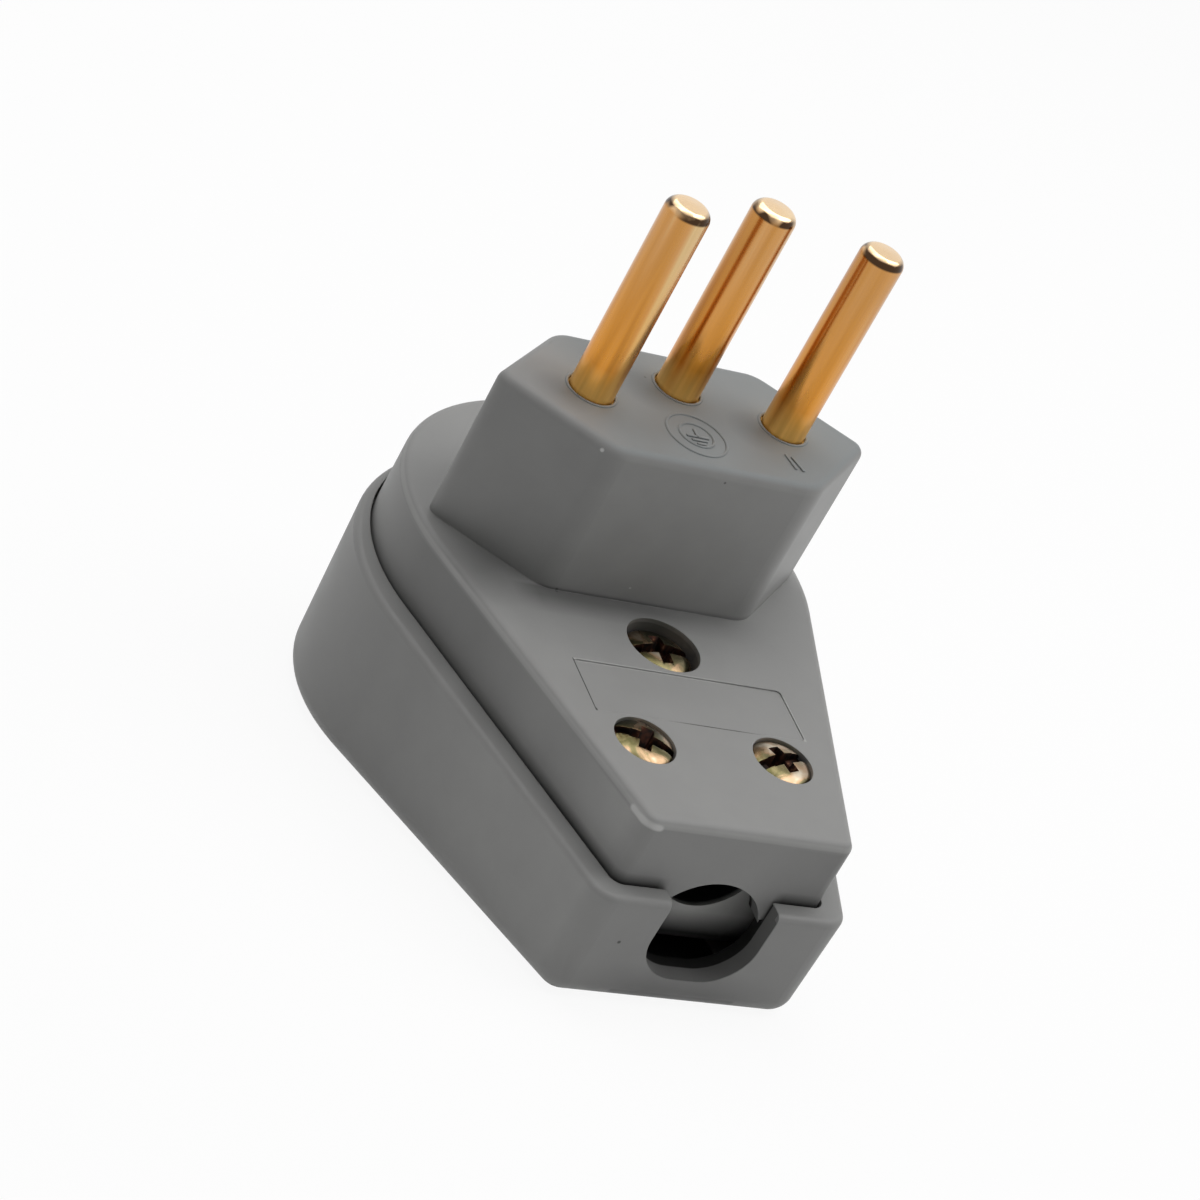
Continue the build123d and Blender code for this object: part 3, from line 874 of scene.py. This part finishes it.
def make_pin(name, brass):
    """Brass pin with a domed tip, a collar in the nose, a shouldered head and a bored neck."""
    node = name + "_pin"
    low, high = reach(node)
    end = high.z - TIP_SHY
    profile = [(0, end), (PIN_RADIUS / 4, end - 0.12 * TIP_CROWN), (PIN_RADIUS - TIP_ROUND, end - TIP_CROWN)]

    for step in range(1, DOME_STEPS + 1):
        angle = math.pi / 2 * step / DOME_STEPS
        out = PIN_RADIUS - TIP_ROUND * (1 - math.sin(angle))
        profile.append((out, end - TIP_CROWN - TIP_ROUND * (1 - math.cos(angle))))
    profile += [
        (PIN_RADIUS, -COLLAR_DROP), (COLLAR_RADIUS, -COLLAR_DROP), (COLLAR_RADIUS, COLLAR_FOOT),
        (PIN_HEAD_RADIUS - PIN_CHAMFER, COLLAR_FOOT), (PIN_HEAD_RADIUS, COLLAR_FOOT - PIN_CHAMFER),
        (PIN_HEAD_RADIUS, PIN_HEAD_FOOT + PIN_CHAMFER), (PIN_HEAD_RADIUS - PIN_CHAMFER, PIN_HEAD_FOOT),
        (PIN_NECK_RADIUS, PIN_HEAD_FOOT), (PIN_NECK_RADIUS, low.z),
        (PIN_BORE_RADIUS, low.z), (PIN_BORE_RADIUS, low.z + PIN_BORE_DEPTH), (0, low.z + PIN_BORE_DEPTH),
    ]
    shape = spin_outline(profile, ROUND_STEPS, False)
    pin = piece_from(shape, node + "_dressed", (brass,), PIN_FRAME @ on_axis(node, 0))
    shade(pin)
    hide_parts(node)
    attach(pin, "root")


def relief_ring(radius, width=RELIEF_WIDTH):
    """Low half-round ring on the nose face."""
    profile = [(radius - width / 2, -RELIEF_SINK)]
    for step in range(RING_STEPS + 1):
        angle = math.pi * step / RING_STEPS
        profile.append((radius - width / 2 * math.cos(angle), RELIEF_HEIGHT * math.sin(angle)))
    profile.append((radius + width / 2, -RELIEF_SINK))
    return spin_outline(profile, ROUND_STEPS, True)


def relief_bar(shape, start, end):
    """Low straight ridge between two points of the nose face."""
    along = end - start
    made = bmesh.ops.create_cube(shape, size=1.0)["verts"]
    size = (along.length + RELIEF_WIDTH, RELIEF_WIDTH, RELIEF_HEIGHT + RELIEF_SINK)
    bmesh.ops.scale(shape, vec=size, verts=made)
    bmesh.ops.rotate(shape, cent=(0, 0, 0), matrix=turn_about(math.atan2(along.y, along.x)), verts=made)
    middle = (start + end) / 2 + Vector((0, 0, (RELIEF_HEIGHT - RELIEF_SINK) / 2))
    bmesh.ops.translate(shape, vec=middle, verts=made)
    edges = {edge for vertex in made for edge in vertex.link_edges}
    bmesh.ops.bevel(
        shape, geom=list(edges), offset=RELIEF_BEVEL, affect="EDGES", segments=2, profile=0.5, material=-1
    )


def dress_relief(name, shape, plastic, place):
    """Hang a relief on the nose face."""
    made = piece_from(shape, name, (plastic,), PIN_FRAME @ place)
    shade(made)
    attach(made, "root")


def make_relief(plastic):
    """Rings, earth sign, strokes and the lips round the pins on the nose face."""
    centre = Matrix.Translation(RING_PLACE)
    for name, radius in RING_RADII.items():
        dress_relief(name, relief_ring(radius), plastic, centre)
    sign = bmesh.new()
    foot = Vector((0, -EARTH_BAR_STEP / 2, 0))
    relief_bar(sign, foot + Vector((0, EARTH_STEM, 0)), foot)
    for count, width in enumerate(EARTH_BARS):
        middle = foot - Vector((0, count * EARTH_BAR_STEP, 0))
        half = Vector((width / 2, 0, 0))
        relief_bar(sign, middle - half, middle + half)
    dress_relief("earth_sign", sign, plastic, centre)
    strokes = bmesh.new()
    for start, end in STROKES:
        relief_bar(strokes, start, end)
    dress_relief("neutral_strokes", strokes, plastic, Matrix())
    for name in PINS:
        lip = relief_ring(LIP_RADIUS, LIP_WIDTH)
        dress_relief(name + "_hole_lip", lip, plastic, on_axis(name + "_pin", 0))


def paint(node, material):
    """Give a node of the frame its finish."""
    slots = frame["nodes"][node].data.materials
    slots.clear()
    slots.append(material)


# Stage
def make_floor():
    """Plain pale floor under the plug."""
    shape = bmesh.new()
    bmesh.ops.create_grid(shape, x_segments=1, y_segments=1, size=FLOOR_SIZE / 2)
    mesh = bpy.data.meshes.new("floor")
    shape.to_mesh(mesh)
    shape.free()
    mesh.materials.append(floor_paint())
    floor = bpy.data.objects.new("floor", mesh)
    bpy.context.collection.objects.link(floor)


def make_sky():
    """White surroundings, brighter overhead."""
    world = bpy.data.worlds.new("surroundings")
    bpy.context.scene.world = world
    world.use_nodes = True
    tree = world.node_tree
    light = tree.nodes["Background"]
    light.inputs["Color"].default_value = (1, 1, 1, 1)
    source = add(tree, "ShaderNodeTexCoord")
    upward = split_axes(tree, source.outputs["Generated"])[2]
    low, high = (1 - SKY_SPREAD) * SKY_LEVEL, (1 + SKY_SPREAD) * SKY_LEVEL
    level = remap(tree, upward, *SKY_RANGE, low, high)
    blend = add(tree, "ShaderNodeMix", data_type="FLOAT")
    tree.links.new(seen_directly(tree), blend.inputs[0])
    tree.links.new(level, blend.inputs[2])
    blend.inputs[3].default_value = 1.0
    tree.links.new(blend.outputs[0], light.inputs["Strength"])


def make_lamp(name, place, size, watts):
    """Square soft box at a place, aimed at the plug."""
    data = bpy.data.lights.new(name, "AREA")
    data.shape = "SQUARE"
    data.size = size
    data.energy = watts
    lamp = bpy.data.objects.new(name, data)
    bpy.context.collection.objects.link(lamp)
    lamp.location = place
    lamp.rotation_mode = "QUATERNION"
    lamp.rotation_quaternion = (Vector(LAMP_AIM) - Vector(place)).to_track_quat("-Z", "Y")


def make_camera():
    """Camera where the photograph was taken from."""
    data = bpy.data.cameras.new("camera")
    data.lens = CAMERA_LENS
    data.sensor_width = SENSOR_WIDTH
    data.clip_start = 10 * MM
    camera = bpy.data.objects.new("camera", data)
    bpy.context.collection.objects.link(camera)
    turn = Matrix((CAMERA_RIGHT, CAMERA_UP, CAMERA_BACK)).transposed()
    camera.matrix_world = Matrix.LocRotScale(CAMERA_PLACE, turn.to_quaternion(), None)
    bpy.context.scene.camera = camera


bpy.context.scene.view_settings.view_transform = "Standard"
make_camera()
make_floor()
make_sky()
for name, lamp in LAMPS.items():
    make_lamp(name, **lamp)

front_plastic = moulded_plastic("front_plastic", SHELL_COLOUR, SHELL_EDGE, FRONT_MOUTH, FRONT_PAINTED_LIGHT)
rear_plastic = moulded_plastic("rear_plastic", SHELL_COLOUR, SHELL_EDGE, REAR_MOUTH, REAR_PAINTED_LIGHT)
brass = pin_brass()
zinc = yellow_zinc()
recess = recess_oxide_and_shade()
FINISHES = {
    "shell_grey": front_plastic,
    "inner_plastic": moulded_plastic("inner_plastic", INNER_COLOUR, INNER_EDGE, FRONT_MOUTH),
    "clamp_grey": clamp_face(),
    "pin_brass": brass,
    "zinc_yellow": zinc,
    "bright_steel": bright_steel(),
}
for part in frame["record"]["subparts"]:
    paint(part["node"], FINISHES[part["material_slot"]])
paint("rear_shell", rear_plastic)
for node in SCREWS:
    make_screw(node, zinc, recess)
for name in PINS:
    make_pin(name, brass)
make_relief(front_plastic)
